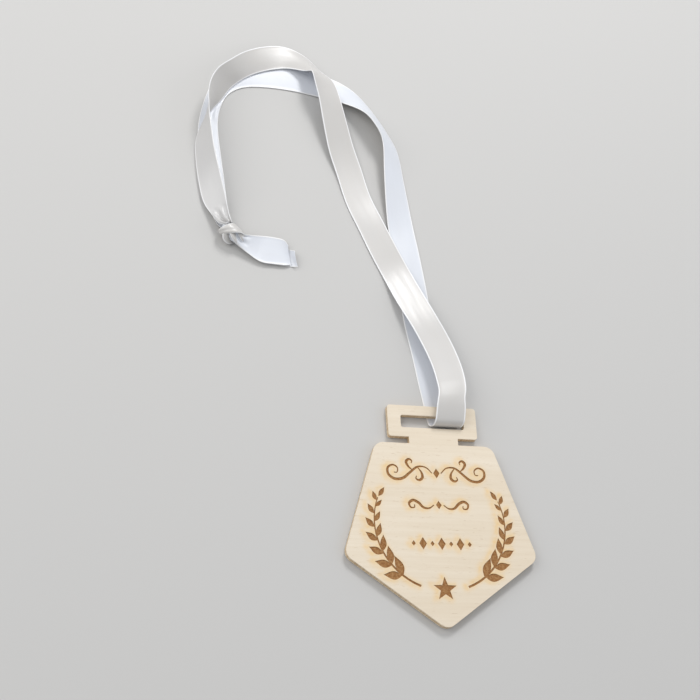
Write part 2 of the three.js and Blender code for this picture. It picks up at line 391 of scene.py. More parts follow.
def mixed(tree, share, first, second):
    """The output of a colour mix. share, first and second are values or sockets."""
    inputs = {MIX_SHARE: share, MIX_FIRST: first, MIX_SECOND: second}
    return add_node(tree, "ShaderNodeMix", inputs, data_type="RGBA").outputs[MIX_RESULT]


def maths(tree, operation, first, second=0.0):
    """The output of one sum."""
    return add_node(tree, "ShaderNodeMath", {0: first, 1: second}, operation=operation).outputs[0]


def ranged(tree, value, low, high, to_low=0.0, to_high=1.0):
    """Maps low..high to to_low..to_high, and holds it there."""
    inputs = {"Value": value, "From Min": low, "From Max": high, "To Min": to_low, "To Max": to_high}
    return add_node(tree, "ShaderNodeMapRange", inputs).outputs["Result"]


def noise_of(tree, vector, stretch, detail=3.0, roughness=0.5):
    """The grey output of a noise texture with this many features per metre along each axis."""
    mapping = add_node(tree, "ShaderNodeMapping", {"Vector": vector, "Scale": stretch})
    inputs = {"Vector": mapping.outputs[0], "Scale": 1.0, "Detail": detail, "Roughness": roughness}
    return add_node(tree, "ShaderNodeTexNoise", inputs).outputs[0]


def bump(tree, shader, height, strength, distance):
    """Gives the shader a relief with this height map, strength and depth."""
    node = add_node(tree, "ShaderNodeBump", {"Height": height, "Strength": strength, "Distance": distance})
    tree.links.new(node.outputs[0], shader.inputs["Normal"])


# Painted shade: the face the upper strand shows takes the darker, warmer colour, standing in for shade.
SATIN_COOL = (0.68, 0.70, 0.745, 1)
SATIN_WARM_PAINTED_SHADE = (0.555, 0.535, 0.51, 1)
SATIN_SHADE = (0.56, 0.555, 0.57, 1)
SATIN_EDGE_HIGHLIGHT = (0.82, 0.815, 0.815, 1)
# Along the ribbon: where its cool face turns warmer and darker, as painted shade, and by how much.
PAINTED_SHADE_FROM = 0.60
PAINTED_SHADE_FULL = 0.65
PAINTED_SHADE_SHARE = 0.8
# Across the ribbon, from its middle: where the selvedge, with its real ribs and its painted edge highlight,
# begins, and where it is full.
SELVEDGE_START = 0.0067
SELVEDGE_FULL = 0.0070
# Along the selvedge: the length of each rib, and its height beside that of the threads.
SELVEDGE_RIB = 0.0006
SELVEDGE_RIB_HEIGHT = 0.5
# Features per metre across and along the ribbon.
SATIN_MOTTLE = (260, 60, 1)
SATIN_THREADS = (7000, 260, 1)
SATIN_GLOSS = (500, 40, 1)
MOTTLE_SHARE = 0.14
SATIN_SHINE = {"Specular IOR Level": 0.55, "Sheen Weight": 0.25, "Sheen Roughness": 0.4}
SATIN_ROUGHNESS = (0.29, 0.40)
SATIN_RELIEF = (0.35, 0.00003)
# The middle part of a noise's values, where most of them lie.
NOISE_MIDDLE = (0.3, 0.7)


def satin_material():
    """White satin: cooler on the face the lower strand shows, painted darker and warmer as shade on the
    other face and on the last stretch, with ribbed selvedges painted lighter as a highlight.
    """
    material, tree, shader = new_material("satin", SATIN_SHINE)
    weave = add_node(tree, "ShaderNodeAttribute", attribute_name="weave").outputs["Vector"]
    parts = add_node(tree, "ShaderNodeSeparateXYZ", {0: weave})
    face = ranged(tree, parts.outputs[2], -1.0, 1.0)
    # Painted shade on the last stretch along the ribbon: its cool face turns darker and warmer.
    late = ranged(tree, parts.outputs[1], PAINTED_SHADE_FROM, PAINTED_SHADE_FULL, 0.0, PAINTED_SHADE_SHARE)
    # Painted shade: the face the upper strand shows, and the last stretch, come out darker and warmer.
    tint_and_painted_shade = mixed(tree, maths(tree, "MAXIMUM", face, late), SATIN_COOL, SATIN_WARM_PAINTED_SHADE)
    mottle = ranged(tree, noise_of(tree, weave, SATIN_MOTTLE, detail=4.0), *NOISE_MIDDLE, 0.0, MOTTLE_SHARE)
    tone = mixed(tree, mottle, tint_and_painted_shade, SATIN_SHADE)
    from_middle = maths(tree, "ABSOLUTE", parts.outputs[0])
    selvedge = ranged(tree, from_middle, SELVEDGE_START, SELVEDGE_FULL)
    # Painted highlight: the selvedges are painted lighter than the faces; their ribs below are a real
    # relief.
    tree.links.new(mixed(tree, selvedge, tone, SATIN_EDGE_HIGHLIGHT), shader.inputs["Base Color"])
    threads = noise_of(tree, weave, SATIN_THREADS, detail=2.0)
    ribs = maths(tree, "SINE", maths(tree, "MULTIPLY", parts.outputs[1], 2 * math.pi / SELVEDGE_RIB))
    ribbed = maths(tree, "MULTIPLY", maths(tree, "MULTIPLY", ribs, SELVEDGE_RIB_HEIGHT), selvedge)
    bump(tree, shader, maths(tree, "ADD", threads, ribbed), *SATIN_RELIEF)
    gloss = noise_of(tree, weave, SATIN_GLOSS)
    roughness = ranged(tree, gloss, *NOISE_MIDDLE, *SATIN_ROUGHNESS)
    tree.links.new(roughness, shader.inputs["Roughness"])
    return material


WOOD_SHINE = {"Specular IOR Level": 0.3}
# Features per metre along and across the grain, the values that count, and their share of the tone.
WOOD_GRAIN = (26, 620, 620)
GRAIN_RANGE = (0.3, 0.72)
GRAIN_SHARE = 0.55
WOOD_BANDS = (7, 75, 75)
BAND_RANGE = (0.35, 0.7)
BAND_SHARE = 0.45
WOOD_PORES = (260, 3600, 3600)
PORE_RANGE = (0.70, 0.76)
PORE_SHARE = 0.5
WOOD_LIGHT = (0.775, 0.683, 0.555, 1)
WOOD_DARK = (0.69, 0.583, 0.442, 1)
CORE_LIGHT = (0.72, 0.56, 0.37, 1)
CORE_DARK = (0.58, 0.42, 0.25, 1)
WOOD_PORE = (0.42, 0.27, 0.14, 1)
CUT_EDGE = (0.80, 0.67, 0.49, 1)
CUT_EDGE_DARK = (0.64, 0.49, 0.32, 1)
CORE_EDGE = (0.66, 0.50, 0.32, 1)
CORE_EDGE_DARK = (0.50, 0.35, 0.20, 1)
CUT_LINES = (1500, 1500, 90)
CUT_LINE_RANGE = (0.35, 0.65)
# How far up a surface faces where the face ends and the cut edge begins.
EDGE_FACING = (0.55, 0.30)
GRAIN_HEIGHT = 0.7
GRAIN_RELIEF = (0.4, 0.00005)
PLAIN_HEIGHTS = (0.0, 1.2)
PLAIN_ROUGHNESS = (0.54, 0.72)


def crossed(stretch):
    """The same stretch turned a quarter turn, for a ply whose grain runs the other way."""
    return stretch[1], stretch[0], stretch[2]


def wood_base(name, light, dark, turned=False):
    """A laser-cut ply: grain, bands and pores on its faces, and a lightly toasted cut edge."""
    material, tree, shader = new_material(name, WOOD_SHINE)
    place = add_node(tree, "ShaderNodeTexCoord")
    spot = place.outputs["Object"]
    turn = crossed if turned else tuple
    grain = noise_of(tree, spot, turn(WOOD_GRAIN), detail=5.0, roughness=0.6)
    bands = noise_of(tree, spot, turn(WOOD_BANDS), detail=2.0)
    share = maths(tree, "MULTIPLY", ranged(tree, grain, *GRAIN_RANGE), GRAIN_SHARE)
    share = maths(tree, "ADD", share, ranged(tree, bands, *BAND_RANGE, 0.0, BAND_SHARE))
    colour = mixed(tree, share, light, dark)
    pores = noise_of(tree, spot, turn(WOOD_PORES), detail=1.0)
    pores = ranged(tree, pores, *PORE_RANGE, 0.0, PORE_SHARE)
    colour = mixed(tree, pores, colour, WOOD_PORE)
    facing = add_node(tree, "ShaderNodeSeparateXYZ", {0: place.outputs["Normal"]}).outputs[2]
    side = ranged(tree, maths(tree, "ABSOLUTE", facing), *EDGE_FACING)
    lines = ranged(tree, noise_of(tree, spot, CUT_LINES, detail=2.0), *CUT_LINE_RANGE)
    toasted = (CORE_EDGE, CORE_EDGE_DARK) if turned else (CUT_EDGE, CUT_EDGE_DARK)
    colour = mixed(tree, side, colour, mixed(tree, lines, *toasted))
    height = maths(tree, "MULTIPLY", grain, GRAIN_HEIGHT)
    height = maths(tree, "ADD", height, maths(tree, "MULTIPLY", lines, side))
    return material, tree, shader, spot, colour, height


def plain_wood(name, light, dark, turned=False):
    """The material of a ply that isn't engraved."""
    material, tree, shader, _, colour, height = wood_base(name, light, dark, turned)
    tree.links.new(colour, shader.inputs["Base Color"])
    tree.links.new(ranged(tree, height, *PLAIN_HEIGHTS, *PLAIN_ROUGHNESS), shader.inputs["Roughness"])
    bump(tree, shader, height, *GRAIN_RELIEF)
    return material


BURN = (0.29, 0.135, 0.045, 1)
BURN_LIGHT = (0.42, 0.235, 0.10, 1)
BURN_DARK = (0.17, 0.066, 0.02, 1)
SOOT = (0.78, 0.49, 0.15, 1)
SOOT_SHARE = 0.62
SOOT_PATCHES = (330, 330, 330)
PATCH_RANGE = (0.25, 0.7)
THINNEST_SOOT = 0.25
CHAR_MOTTLE = (900, 900, 900)
PALE_CHAR_RANGE = (0.45, 0.7)
DARK_CHAR_RANGE = (0.45, 0.25)
# The lines that the laser leaves as it sweeps from side to side.
SCAN_LINES = (120, 5200, 200)
SCAN_RANGE = (0.5, 0.8)
SCAN_SHARE = 0.5
ENGRAVED_ROUGHNESS = (0.6, 0.85)
ENGRAVED_RELIEF = (0.4, 0.00006)


def engraved_wood(name, light, dark):
    """A ply with burnt engraving on it, and the smoke stain round the engraving."""
    material, tree, shader, spot, colour, height = wood_base(name, light, dark)
    soot = add_node(tree, "ShaderNodeAttribute", attribute_name="soot").outputs["Fac"]
    patches = noise_of(tree, spot, SOOT_PATCHES, detail=4.0, roughness=0.6)
    stain = maths(tree, "MULTIPLY", soot, ranged(tree, patches, *PATCH_RANGE, THINNEST_SOOT, 1.0))
    colour = mixed(tree, maths(tree, "MULTIPLY", stain, SOOT_SHARE), colour, SOOT)
    burn = add_node(tree, "ShaderNodeAttribute", attribute_name="burn").outputs["Fac"]
    mottle = noise_of(tree, spot, CHAR_MOTTLE, detail=4.0, roughness=0.65)
    char = mixed(tree, ranged(tree, mottle, *PALE_CHAR_RANGE), BURN, BURN_LIGHT)
    char = mixed(tree, ranged(tree, mottle, *DARK_CHAR_RANGE), char, BURN_DARK)
    scan = noise_of(tree, spot, SCAN_LINES, detail=2.0)
    char = mixed(tree, ranged(tree, scan, *SCAN_RANGE, 0.0, SCAN_SHARE), char, BURN_DARK)
    tree.links.new(mixed(tree, burn, colour, char), shader.inputs["Base Color"])
    tree.links.new(ranged(tree, burn, 0.0, 1.0, *ENGRAVED_ROUGHNESS), shader.inputs["Roughness"])
    rough = maths(tree, "MULTIPLY", maths(tree, "ADD", mottle, scan), burn)
    bump(tree, shader, maths(tree, "ADD", height, rough), *ENGRAVED_RELIEF)
    return material


# -------- the ribbon

# The ribbon pleats where it is narrowed by more than this share, and fully so this much further.
PLEAT_START = 0.33
PLEAT_RISE = 0.25
PLEAT_DEPTH = 0.0016
# It is fully cupped where it is narrowed by this share.
CUP_RISE = 0.1
CUP_DEPTH = 0.0004


def gathers(first, second):
    """How far each row of the ribbon is cupped, and how deep it is pleated, from how narrow it is."""
    chord = np.linalg.norm(second - first, axis=1)
    narrow = np.clip(1 - chord / RIBBON_WIDTH, 0, 1)
    pleat = PLEAT_DEPTH * np.clip((narrow - PLEAT_START) / PLEAT_RISE, 0, 1)
    room = np.minimum(first[:, 2], second[:, 2]) - TABLE_CLEARANCE
    cup = CUP_DEPTH * np.clip(narrow / CUP_RISE, 0, 1)
    return cup, np.clip(np.minimum(pleat, room), 0, None)


# How much of the way to the knot's middle the strips carry on, and how high above it they end.
ENTRY_SHARE = 0.6
ENTRY_STEPS = 8
RIBBON_ENTRIES = (-0.0008, 0.0038)
UPPER_TAIL_ENTRY = 0.0014
LOWER_TAIL_ENTRY = -0.0020
KNOT_CENTRE = Vector((-0.0966, 0.1426, 0.004))


def add_ribbon(material):
    """The band from the knot round to the knot, and the middle line of its route."""
    stations = LOWER_STRAND + turn_stations() + UPPER_STRAND
    path = sum(smoothed(line, SMOOTHING_PASSES) for line in edge_lines(stations)) / 2
    first, second = knotted_edges(stations, RIBBON_ENTRIES, SMOOTHING_PASSES)
    cup, pleat = gathers(first, second)
    up = unit(np.cross(np.gradient((first + second) / 2, axis=0), second - first))
    rows = strip_rows(first, second, cup * up[:, 2], pleat)
    sheet = sheet_parts(rows, *ribbon_profile())
    return satin_piece("satin_ribbon", "ribbon", [sheet], material), path


def knotted_edges(stations, heights, passes):
    """The two edges of a strip, carried on into the knot and evened out."""
    return [smoothed(into_knot(line, heights), passes) for line in edge_lines(stations)]


def into_knot(line, heights):
    """Carries the start of an edge line, and its end if it has a height too, on under the wrap."""
    share = np.linspace(1 / ENTRY_STEPS, ENTRY_SHARE, ENTRY_STEPS)[:, None]
    middle = np.array(KNOT_CENTRE)
    before = line[0] * (1 - share) + (middle + (0, 0, heights[0])) * share
    line = np.vstack([before[::-1], line])
    if len(heights) == 1:
        return line
    after = line[-1] * (1 - share) + (middle + (0, 0, heights[1])) * share
    return np.vstack([line, after])


TAIL_SMOOTHING = 4
TIP_VALLEY = -0.0010
# Shares of a free end's length: its last part may be cupped, and only its first part is pleated.
VALLEY_LENGTH = 0.22
PLEAT_END = 0.5


def add_tail(name, node, stations, material, entry, valley):
    """A free end. entry is its height in the knot, and valley how far the middle of its tip stands up."""
    first, second = knotted_edges(stations, (entry,), TAIL_SMOOTHING)
    cup, pleat = gathers(first, second)
    share = np.linspace(0, 1, len(first))
    cup = cup + valley * np.clip((share - 1 + VALLEY_LENGTH) / VALLEY_LENGTH, 0, 1)
    pleat = pleat * np.clip((PLEAT_END - share) / PLEAT_END, 0, 1)
    rows = strip_rows(first, second, cup, pleat)
    return satin_piece(name, node, [sheet_parts(rows, *ribbon_profile())], material)


# -------- the knot
# Local places: x from the ribbon towards the tails, y to its left, z up, from the knot's centre.

KNOT_HEADING = math.radians(-49)
KNOT_BASE_Z = 0.0002

# The gathered bundle that runs through the knot: x, y, z, half its width, half its height.
BUNDLE = [
    (-0.0046, -0.0006, 0.0002, 0.0026, 0.0022),
    (-0.0024, -0.0012, 0.0002, 0.0029, 0.0027),
    (0.0000, -0.0014, 0.0000, 0.0031, 0.0028),
    (0.0028, -0.0010, -0.0004, 0.0030, 0.0023),
    (0.0052, -0.0002, -0.0010, 0.0030, 0.0015),
    (0.0070, 0.0001, -0.0016, 0.0028, 0.0010),
    (0.0088, 0.0003, -0.0024, 0.0018, 0.0006),
    (0.0102, 0.0004, -0.0030, 0.0005, 0.0002),
]
BUNDLE_FOLDS = 9
BUNDLE_FOLD_DEPTH = 0.13
BUNDLE_TWIST = 1.2
BUNDLE_STEPS = 10
BUNDLE_SIDES = 72

# The wrap: one turn of ribbon round the bundle. Angle from the right side up and over, then
# x of its edge towards the ribbon, x of its edge towards the tails, and how far out it stands.
WRAP = [
    (-70, -0.0004, 0.0048, 0.94),
    (-35, -0.0006, 0.0054, 1.00),
    (0, -0.0012, 0.0056, 1.04),
    (35, -0.0018, 0.0052, 1.08),
    (70, -0.0024, 0.0040, 1.12),
    (105, -0.0031, 0.0022, 1.12),
    (140, -0.0037, 0.0003, 1.08),
    (180, -0.0042, -0.0014, 1.02),
    (220, -0.0040, -0.0014, 0.96),
    (265, -0.0026, 0.0010, 0.88),
]
WRAP_HALF_WIDTH = 0.0039
WRAP_HALF_HEIGHT = 0.0034
WRAP_SHIFT_Y = -0.0016
WRAP_CROWN = 0.0004
WRAP_CREASE_DEPTH = 0.00010
# Each wave of the creases: radians across the wrap, and radians for each radian round it.
WRAP_CREASE_WAVES = ((9, 1.5), (4, 1.2))
WRAP_STEPS = 10
WRAP_COLUMNS = 21

# The soft folds beyond the wrap: x, y, z, half the width and half the height at each station.
LEFT_FOLD = [
    (-0.0016, -0.0028, 0.0012, 0.0010, 0.0009),
    (-0.0004, -0.0040, 0.0008, 0.0019, 0.0013),
    (0.0009, -0.0047, -0.0006, 0.0023, 0.0015),
    (0.0022, -0.0045, -0.0021, 0.0021, 0.0013),
    (0.0034, -0.0035, -0.0031, 0.0013, 0.0008),
    (0.0044, -0.0022, -0.0034, 0.0003, 0.0002),
]
DIAGONAL_FOLD = [
    (-0.0004, -0.0016, 0.0024, 0.0008, 0.0005),
    (0.0018, -0.0024, 0.0024, 0.0015, 0.0007),
    (0.0038, -0.0026, 0.0014, 0.0017, 0.0008),
    (0.0058, -0.0022, -0.0002, 0.0015, 0.0007),
    (0.0078, -0.0014, -0.0016, 0.0009, 0.0005),
    (0.0092, -0.0006, -0.0024, 0.0002, 0.0001),
]
RIGHT_FOLD = [
    (0.0016, 0.0016, 0.0014, 0.0008, 0.0006),
    (0.0036, 0.0014, 0.0012, 0.0015, 0.0008),
    (0.0054, 0.0014, 0.0003, 0.0016, 0.0008),
    (0.0070, 0.0014, -0.0008, 0.0011, 0.0005),
    (0.0084, 0.0014, -0.0018, 0.0002, 0.0001),
]
FOLD_STEPS = 10
FOLD_SIDES = 32
# How far each fold leans over to its left, so that its edge shows.
FOLD_LEAN = math.radians(24)


def placed(local):
    """Local places in the knot, in the model's frame and clear of the table."""
    turn = np.array(Matrix.Rotation(KNOT_HEADING, 3, "Z"))
    points = local @ turn.T + np.array(KNOT_CENTRE)
    points[..., 2] = np.maximum(points[..., 2], KNOT_BASE_Z)
    return points


def bundle_rows():
    """The bundle's surface, with its pleats running along it and twisting a little."""
    line = spline(BUNDLE, BUNDLE_STEPS)
    angles = np.linspace(0, 2 * math.pi, BUNDLE_SIDES + 1)
    twist = np.linspace(0, BUNDLE_TWIST, len(line))[:, None]
    pleats = np.abs(np.sin(BUNDLE_FOLDS / 2 * (angles[None, :] + twist)))
    reach = 1 - BUNDLE_FOLD_DEPTH * (1 - pleats)
    x = np.repeat(line[:, :1], BUNDLE_SIDES + 1, axis=1)
    y = line[:, 1:2] + line[:, 3:4] * np.cos(angles) * reach
    z = line[:, 2:3] + line[:, 4:5] * np.sin(angles) * reach
    return placed(np.stack([x, y, z], axis=-1))


def wrap_rows():
    """The wrap's surface: crowned across, with soft creases where it is pulled tight."""
    table = spline(WRAP, WRAP_STEPS)
    angles = np.radians(table[:, 0:1])
    across = np.linspace(0, 1, WRAP_COLUMNS)[None, :]
    crown = WRAP_CROWN * (1 - (2 * across - 1) ** 4)
    creases = WRAP_CREASE_DEPTH
    for waves_across, waves_round in WRAP_CREASE_WAVES:
        creases = creases * np.sin(across * waves_across + angles * waves_round)
    out = table[:, 3:4] + (crown + creases) / WRAP_HALF_HEIGHT
    x = table[:, 1:2] * (1 - across) + table[:, 2:3] * across
    y = WRAP_SHIFT_Y + WRAP_HALF_WIDTH * np.cos(angles) * out
    z = WRAP_HALF_HEIGHT * np.sin(angles) * out
    return placed(np.stack([x, y, z], axis=-1))


def fold_rows(stations):
    """A soft fold's surface: a leaning oval carried along its stations and closed at both ends."""
    line = spline(stations, FOLD_STEPS)
    along = unit(np.gradient(line[:, :3], axis=0))
    side = unit(np.cross(along, (0, 0, 1)))
    up = np.cross(side, along)
    flat = side * math.cos(FOLD_LEAN) + up * math.sin(FOLD_LEAN)
    tall = up * math.cos(FOLD_LEAN) - side * math.sin(FOLD_LEAN)
    angles = np.linspace(0, 2 * math.pi, FOLD_SIDES + 1)[None, :, None]
    across = np.cos(angles) * line[:, None, 3:4] * flat[:, None, :]
    rise = np.sin(angles) * line[:, None, 4:5] * tall[:, None, :]
    return placed(line[:, None, :3] + across + rise)


def add_knot(material):
    """The knot: its bundle, its wrap and the folds that stand out beyond the wrap."""
    surfaces = [bundle_rows(), wrap_rows()]
    surfaces += [fold_rows(stations) for stations in (LEFT_FOLD, DIAGONAL_FOLD, RIGHT_FOLD)]
    sheets = []
    for rows in surfaces:
        columns = rows.shape[1]
        halves = np.full(columns, PLAIN_HALF_THICKNESS)
        sheets.append(sheet_parts(rows, halves, np.linspace(0, 1, columns)))
    return satin_piece("satin_knot", "knot", sheets, material)


# -------- the plate's outline
# Corners are x, y and the radius that rounds them, from the centre of the regular pentagon.

PENTAGON_RADIUS = 0.050
PENTAGON_ANGLES = (126, 198, 270, 342, 54)
PENTAGON_CORNER_RADIUS = 0.0056
NECK_HALF_WIDTH = 0.0124
INNER_CORNER_RADIUS = 0.0002
BAR_HALF_WIDTH = 0.0225
BAR_BOTTOM = 0.0438
BAR_TOP = 0.060
BAR_CORNER_RADIUS = 0.0015
SLOT_HALF_WIDTH = 0.016
SLOT_BOTTOM = 0.0486
SLOT_TOP = 0.0549
SLOT_CORNER_RADIUS = 0.0011
ARC_STEPS = 12
EDGE_BEVEL = 0.00012
PENTAGON_CENTRE_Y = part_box("front_veneer")[1].y - BAR_TOP


def polar(radius, angle):
    """The point this far from the origin, at this angle."""
    return np.array([radius * math.cos(angle), radius * math.sin(angle)])


def rectangle(half_width, bottom, top, radius):
    """The corners of an upright rectangle, anticlockwise from the lower left."""
    corners = [(-half_width, bottom), (half_width, bottom), (half_width, top), (-half_width, top)]
    return [(x, y, radius) for x, y in corners]


def plate_corners():
    """The pentagon, point down, joined by a neck to the bar, anticlockwise."""
    pentagon = []
    for degrees in PENTAGON_ANGLES:
        x, y = polar(PENTAGON_RADIUS, math.radians(degrees))
        pentagon.append((x, y, PENTAGON_CORNER_RADIUS))
    shoulder = pentagon[0][1]
    bar = rectangle(BAR_HALF_WIDTH, BAR_BOTTOM, BAR_TOP, BAR_CORNER_RADIUS)
    right = [(NECK_HALF_WIDTH, y, INNER_CORNER_RADIUS) for y in (shoulder, BAR_BOTTOM)]
    left = [(-x, y, radius) for x, y, radius in reversed(right)]
    return pentagon + right + [bar[1], bar[2], bar[3], bar[0]] + left


def slot_corners():
    """The slot that the ribbon runs through."""
    return rectangle(SLOT_HALF_WIDTH, SLOT_BOTTOM, SLOT_TOP, SLOT_CORNER_RADIUS)


def outline(corners, inset):
    """Points round an anticlockwise polygon with an arc at each corner, moved inwards by inset."""
    points = np.array([corner[:2] for corner in corners])
    ways = unit(np.roll(points, -1, axis=0) - points)
    result = []
    for index, (x, y, radius) in enumerate(corners):
        way_in, way_out = ways[index - 1], ways[index]
        turn = math.atan2(way_in[0] * way_out[1] - way_in[1] * way_out[0], way_in @ way_out)
        side_in = np.array([-way_in[1], way_in[0]])
        side_out = np.array([-way_out[1], way_out[0]])
        sign = math.copysign(1, turn)
        reach = (side_in + side_out) / (1 + side_in @ side_out)
        centre = np.array([x, y]) + reach * sign * radius
        start = math.atan2(-side_in[1] * sign, -side_in[0] * sign)
        arc = radius - sign * inset
        for step in range(ARC_STEPS + 1):
            angle = start + turn * step / ARC_STEPS
            result.append(centre + polar(arc, angle))
    return result


# -------- the engraved drawing
# All of it is measured from the pentagon's centre, and drawn as closed loops.

WREATH_CENTRE_Y = 0.0005
WREATH_RADIUS = 0.0323
# The stem's foot and its tip: degrees round the wreath, and the widths there.
STEM_ANGLES = (249, 158)
STEM_WIDTHS = (0.0011, 0.0005)
STEM_STEPS = 40
# Groups of leaves: degrees round the wreath to the first, degrees between them, and how they lean.
OUTER_LEAVES = {"first": 161.5, "step": 11.7, "count": 7, "shortest": 0.0048, "longest": 0.0090, "lean": 41}
INNER_LEAVES = {"first": 167, "step": 13.1, "count": 6, "shortest": 0.0047, "longest": 0.0101, "lean": -34}
TIP_LEAF = {"first": 157.5, "step": 0, "count": 1, "shortest": 0.0056, "longest": 0.0056, "lean": -16}
LEAF_PROPORTION = {"outer": 0.45, "inner": 0.39}
QUARTER_TURN = 90
LEAF_BEND = 0.07
LEAF_STALK = 0.0004
LEAF_STEPS = 16
# A leaf's half width is the sine of its length's share to the first power, to the second power.
LEAF_POWERS = (0.85, 1.25)
STAR_CENTRE_Y = -0.0309
STAR_RADIUS = 0.0059
STAR_WAIST = 0.41
STAR_POINTS = 5
LARGE_SCROLL = [
    (0.0022, 0.0256), (0.0052, 0.0284), (0.0092, 0.0286), (0.0132, 0.0256), (0.0170, 0.0226),
    (0.0212, 0.0222), (0.0241, 0.0246), (0.0240, 0.0278), (0.0214, 0.0291), (0.0193, 0.0276),
    (0.0197, 0.0255), (0.0212, 0.0254),
]
LARGE_SPRIG = [
    (0.0118, 0.0267), (0.0139, 0.0287), (0.0148, 0.0309), (0.0134, 0.0323), (0.0120, 0.0315),
    (0.0123, 0.0303),
]
LARGE_ROOT = [
    (0.0092, 0.0283), (0.0074, 0.0256), (0.0072, 0.0232), (0.0089, 0.0219), (0.0104, 0.0227),
    (0.0100, 0.0241),
]
SMALL_SCROLL = [
    (0.0024, 0.0098), (0.0048, 0.0081), (0.0076, 0.0083), (0.0102, 0.0108), (0.0128, 0.0118),
    (0.0147, 0.0102), (0.0139, 0.0082), (0.0121, 0.0084), (0.0121, 0.0097),
]
SCROLL_WIDTH = 0.0014
SCROLL_FINEST = 0.35
SCROLL_SWELL_POWER = 0.8
SCROLL_STEPS = 6
# Lozenges: x, y, half the width and half the height.
LARGE_LOZENGE = (0.0, 0.0256, 0.0016, 0.0025)
SMALL_LOZENGE = (0.0, 0.0098, 0.0014, 0.0021)
BEAD_ROW_Y = -0.0092
BEAD_SPACING = 0.0046
BEADS_EACH_SIDE = 3
# Half the width and half the height of a large bead, and of a small one.
BEAD_SIZES = ((0.0019, 0.0030), (0.0010, 0.0013))


def arc_point(degrees):
    """A point on the wreath's circle."""
    return polar(WREATH_RADIUS, math.radians(degrees)) + (0, WREATH_CENTRE_Y)


def stroke(centre, widths):
    """The loop round a line of points with these widths along it."""
    along = unit(np.gradient(centre, axis=0))
    side = np.stack([-along[:, 1], along[:, 0]], axis=1) * widths[:, None] / 2
    return np.vstack([centre + side, (centre - side)[::-1]])


def stem():
    """The wreath's left stem, thickest at its foot."""
    centre = np.array([arc_point(degrees) for degrees in np.linspace(*STEM_ANGLES, STEM_STEPS)])
    return stroke(centre, np.linspace(*STEM_WIDTHS, STEM_STEPS))


def leaf(base, degrees, length, width, bend):
    """A pointed leaf from its base, widest nearer the base, its tip bent to one side."""
    way = polar(1, math.radians(degrees))
    side = np.array([-way[1], way[0]])
    share = np.linspace(0, 1, LEAF_STEPS)[:, None]
    half = width / 2 * np.sin(math.pi * share ** LEAF_POWERS[0]) ** LEAF_POWERS[1]
    middle = base + way * (LEAF_STALK + share * length) + side * bend * length * share**2
    return np.vstack([middle + side * half, (middle - side * half)[-2:0:-1]])


def leaves(first, step, count, shortest, longest, lean):
    """One side's leaves, from the stem's tip down, each longer than the last."""
    result = []
    for index in range(count):
        degrees = first + step * index
        length = shortest + (longest - shortest) * index / max(count - 1, 1)
        width = length * LEAF_PROPORTION["outer" if lean > 0 else "inner"]
        bend = -math.copysign(LEAF_BEND, lean)
        heading = degrees - QUARTER_TURN + lean
        result.append(leaf(arc_point(degrees), heading, length, width, bend))
    return result


def star():
    """A five-pointed star, point up."""
    points = []
    for index in range(2 * STAR_POINTS):
        radius = STAR_RADIUS * (STAR_WAIST if index % 2 else 1)
        angle = math.pi / 2 + math.pi * index / STAR_POINTS
        points.append(polar(radius, angle) + (0, STAR_CENTRE_Y))
    return divided(points)


def lozenge(x, y, half_width, half_height):
    """An upright lozenge round this middle."""
    right, left = (x + half_width, y), (x - half_width, y)
    return divided([right, (x, y + half_height), left, (x, y - half_height)])


def divided(corners, pieces=4):
    """The loop with each straight side cut into pieces."""
    points = np.array(corners)
    after = np.roll(points, -1, axis=0)
    shares = np.arange(pieces)[None, :, None] / pieces
    return (points[:, None] * (1 - shares) + after[:, None] * shares).reshape(-1, 2)


def scroll(points):
    """A curl of ornament: a stroke that swells in its middle and is fine at its start."""
    centre = spline(points, SCROLL_STEPS)
    share = np.linspace(0, 1, len(centre))
    swell = np.sin(math.pi * share**SCROLL_SWELL_POWER) ** 2
    widths = SCROLL_WIDTH * (SCROLL_FINEST + (1 - SCROLL_FINEST) * swell)
    return stroke(centre, widths)


def beads():
    """A row of lozenges, large and small by turns."""
    row = []
    for index in range(-BEADS_EACH_SIDE, BEADS_EACH_SIDE + 1):
        row.append(lozenge(index * BEAD_SPACING, BEAD_ROW_Y, *BEAD_SIZES[index % 2]))
    return row


def drawing():
    """Every engraved loop."""
    half = [stem()]
    for group in (OUTER_LEAVES, INNER_LEAVES, TIP_LEAF):
        half += leaves(**group)
    for curl in (LARGE_SCROLL, LARGE_SPRIG, LARGE_ROOT, SMALL_SCROLL):
        half.append(scroll(curl) * (-1, 1))
    other_half = [loop * (-1, 1) for loop in half]
    middle = [star(), lozenge(*LARGE_LOZENGE), lozenge(*SMALL_LOZENGE)]
    return [anticlockwise(loop) for loop in half + other_half + middle + beads()]


def anticlockwise(loop):
    """The loop, turned round if it runs clockwise."""
    after = np.roll(loop, -1, axis=0)
    area = np.sum(loop[:, 0] * after[:, 1] - loop[:, 1] * after[:, 0])
    return loop if area > 0 else loop[::-1]


# -------- the engraved veneer

ENGRAVING_DEPTH = 0.0003
FLOOR_ROUGHNESS = 0.00005
FLOOR_ROUGHNESS_SCALE = 1700
GRID_STEP = 0.0008
GRID_CLEARANCE = 0.0003
SHARP_ANGLE = math.radians(35)
# The smoke's drift, and how far off its stain has thinned to about a third.
SOOT_SHIFT = Vector((-0.0013, 0, 0))
SOOT_REACH = 0.0016
NEARNESS = 1e-7


